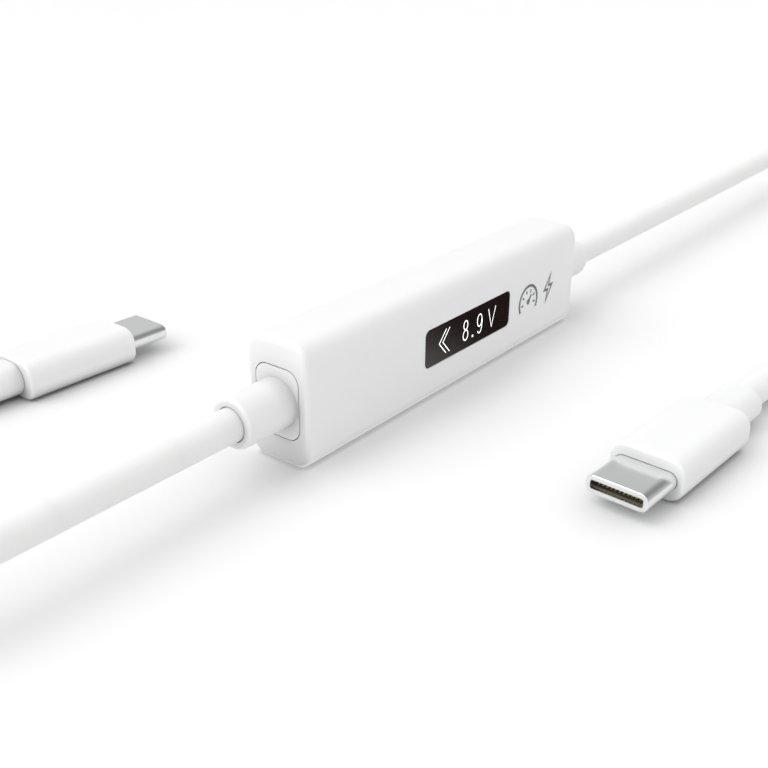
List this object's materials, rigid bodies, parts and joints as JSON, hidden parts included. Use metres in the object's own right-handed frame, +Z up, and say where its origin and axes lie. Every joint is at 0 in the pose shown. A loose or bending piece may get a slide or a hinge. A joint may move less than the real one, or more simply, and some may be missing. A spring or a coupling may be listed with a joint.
{
  "type": "usb power meter",
  "caption": "Slim inline power meter: white case with a display window and a short and a long cable, each ending in a flat reversible plug.",
  "frame": {"origin": "centre of the case's underside, the face it stands on", "axes": "+Z up; +X along the case towards the long cable; the display faces -Y"},
  "size_m": [0.2651, 0.0985, 0.0167],
  "materials": {
    "white_case": "satin moulded",
    "white_grommet": "satin, slightly soft",
    "white_boot": "satin, slightly soft",
    "cable_jacket": "smooth elastomer",
    "window_glass": "smoked and polished",
    "black_tape": "matte foam tape",
    "panel_glass": "polished",
    "polyimide_film": "semi-gloss film",
    "black_plastic": "moulded",
    "circuit_board": "solder resist",
    "chip_package": "moulded epoxy",
    "shunt_alloy": "metal strip",
    "capacitor_ceramic": "fired ceramic",
    "lead_insulation": "extruded insulation",
    "conductor_bundle": "foil wrap",
    "steel_shell": "satin nickel plating",
    "spring_steel": "bright",
    "gold_contacts": "gold plating"
  },
  "bodies": {
    "meter": {"case_shell": "white_case", "back_cover": "white_case", "display_window": "window_glass", "window_tape": "black_tape", "oled_panel": "panel_glass", "oled_flex": "polyimide_film", "oled_cradle": "black_plastic", "main_board": "circuit_board", "microcontroller": "chip_package", "current_shunt": "shunt_alloy", "sense_amplifier": "chip_package", "voltage_regulator": "chip_package", "ceramic_capacitors": "capacitor_ceramic", "strain_relief_short": "white_grommet", "strain_relief_long": "white_grommet", "cable_entry_short": "cable_jacket", "cable_entry_long": "cable_jacket", "lead_wires_short": "lead_insulation", "lead_wires_long": "lead_insulation"},
    "short_span_1": {"cable_short_1_jacket": "cable_jacket", "cable_short_1_core": "conductor_bundle"},
    "short_span_2": {"cable_short_2_jacket": "cable_jacket", "cable_short_2_core": "conductor_bundle"},
    "short_span_3": {"cable_short_3_jacket": "cable_jacket", "cable_short_3_core": "conductor_bundle"},
    "short_span_4": {"cable_short_4_jacket": "cable_jacket", "cable_short_4_core": "conductor_bundle"},
    "short_span_5": {"cable_short_5_jacket": "cable_jacket", "cable_short_5_core": "conductor_bundle"},
    "short_plug": {"plug_shell_short": "steel_shell", "plug_housing_short": "black_plastic", "plug_contacts_short": "gold_contacts", "latch_spring_short": "spring_steel", "plug_board_short": "circuit_board", "plug_boot_short": "white_boot", "plug_strain_relief_short": "white_grommet", "plug_cable_jacket_short": "cable_jacket", "plug_leads_short": "lead_insulation"},
    "long_span_1": {"cable_long_1_jacket": "cable_jacket", "cable_long_1_core": "conductor_bundle"},
    "long_span_2": {"cable_long_2_jacket": "cable_jacket", "cable_long_2_core": "conductor_bundle"},
    "long_span_3": {"cable_long_3_jacket": "cable_jacket", "cable_long_3_core": "conductor_bundle"},
    "long_span_4": {"cable_long_4_jacket": "cable_jacket", "cable_long_4_core": "conductor_bundle"},
    "long_span_5": {"cable_long_5_jacket": "cable_jacket", "cable_long_5_core": "conductor_bundle"},
    "long_span_6": {"cable_long_6_jacket": "cable_jacket", "cable_long_6_core": "conductor_bundle"},
    "long_plug": {"plug_shell_long": "steel_shell", "plug_housing_long": "black_plastic", "plug_contacts_long": "gold_contacts", "latch_spring_long": "spring_steel", "plug_board_long": "circuit_board", "plug_boot_long": "white_boot", "plug_strain_relief_long": "white_grommet", "plug_cable_jacket_long": "cable_jacket", "plug_leads_long": "lead_insulation", "marker_chip": "chip_package"}
  },
  "joints": [
    {"name": "short_entry_swing", "type": "hinge", "parent": "meter", "child": "short_span_1", "pos_m": [-0.0419, 0, 0.00835], "axis": [0, 0, 1], "range_deg": [-20, 30], "stiffness_Nm_per_rad": 0.012},
    {"name": "short_run_swing", "type": "hinge", "parent": "short_span_1", "child": "short_span_2", "pos_m": [-0.0578, 0, 0.00835], "axis": [0, 0, -1], "range_deg": [-30, 16], "stiffness_Nm_per_rad": 0.012},
    {"name": "short_loop_start_swing", "type": "hinge", "parent": "short_span_2", "child": "short_span_3", "pos_m": [-0.0737, 0, 0.00835], "axis": [0, 0, 1], "range_deg": [-12, 35], "stiffness_Nm_per_rad": 0.012},
    {"name": "short_loop_middle_swing", "type": "hinge", "parent": "short_span_3", "child": "short_span_4", "pos_m": [-0.09569, 0.022, 0.00522], "axis": [0, 0, -1], "range_deg": [-35, 10], "stiffness_Nm_per_rad": 0.012},
    {"name": "short_loop_end_lift", "type": "hinge", "parent": "short_span_4", "child": "short_span_5", "pos_m": [-0.07324, 0.04354, 0.00215], "axis": [-0.0207, -0.9998, 0], "range_deg": [0, 35], "stiffness_Nm_per_rad": 0.012},
    {"name": "short_plug_swing", "type": "hinge", "parent": "short_span_5", "child": "short_plug", "pos_m": [-0.05095, 0.04307, 0.0028], "axis": [0, 0, 1], "range_deg": [-30, 30], "stiffness_Nm_per_rad": 0.012},
    {"name": "long_entry_swing", "type": "hinge", "parent": "meter", "child": "long_span_1", "pos_m": [0.0419, 0, 0.00835], "axis": [0, 0, 1], "range_deg": [-14, 30], "stiffness_Nm_per_rad": 0.012},
    {"name": "long_run_swing", "type": "hinge", "parent": "long_span_1", "child": "long_span_2", "pos_m": [0.0913, 0, 0.00835], "axis": [0, 0, -1], "range_deg": [-30, 10], "stiffness_Nm_per_rad": 0.012},
    {"name": "long_loop_start_swing", "type": "hinge", "parent": "long_span_2", "child": "long_span_3", "pos_m": [0.1407, 0, 0.00835], "axis": [0, 0, 1], "range_deg": [-7, 35], "stiffness_Nm_per_rad": 0.012},
    {"name": "long_loop_middle_swing", "type": "hinge", "parent": "long_span_3", "child": "long_span_4", "pos_m": [0.16513, -0.02501, 0.00515], "axis": [0, 0, -1], "range_deg": [-35, 5], "stiffness_Nm_per_rad": 0.012},
    {"name": "long_loop_end_lift", "type": "hinge", "parent": "long_span_4", "child": "long_span_5", "pos_m": [0.13914, -0.04843, 0.00215], "axis": [0.0631, 0.998, 0], "range_deg": [0, 30], "stiffness_Nm_per_rad": 0.012},
    {"name": "long_return_lift", "type": "hinge", "parent": "long_span_5", "child": "long_span_6", "pos_m": [0.07737, -0.04453, 0.00215], "axis": [0.0631, 0.998, 0], "range_deg": [0, 30], "stiffness_Nm_per_rad": 0.012},
    {"name": "long_plug_swing", "type": "hinge", "parent": "long_span_6", "child": "long_plug", "pos_m": [0.01559, -0.04062, 0.0028], "axis": [0, 0, 1], "range_deg": [-30, 30], "stiffness_Nm_per_rad": 0.012}
  ]
}
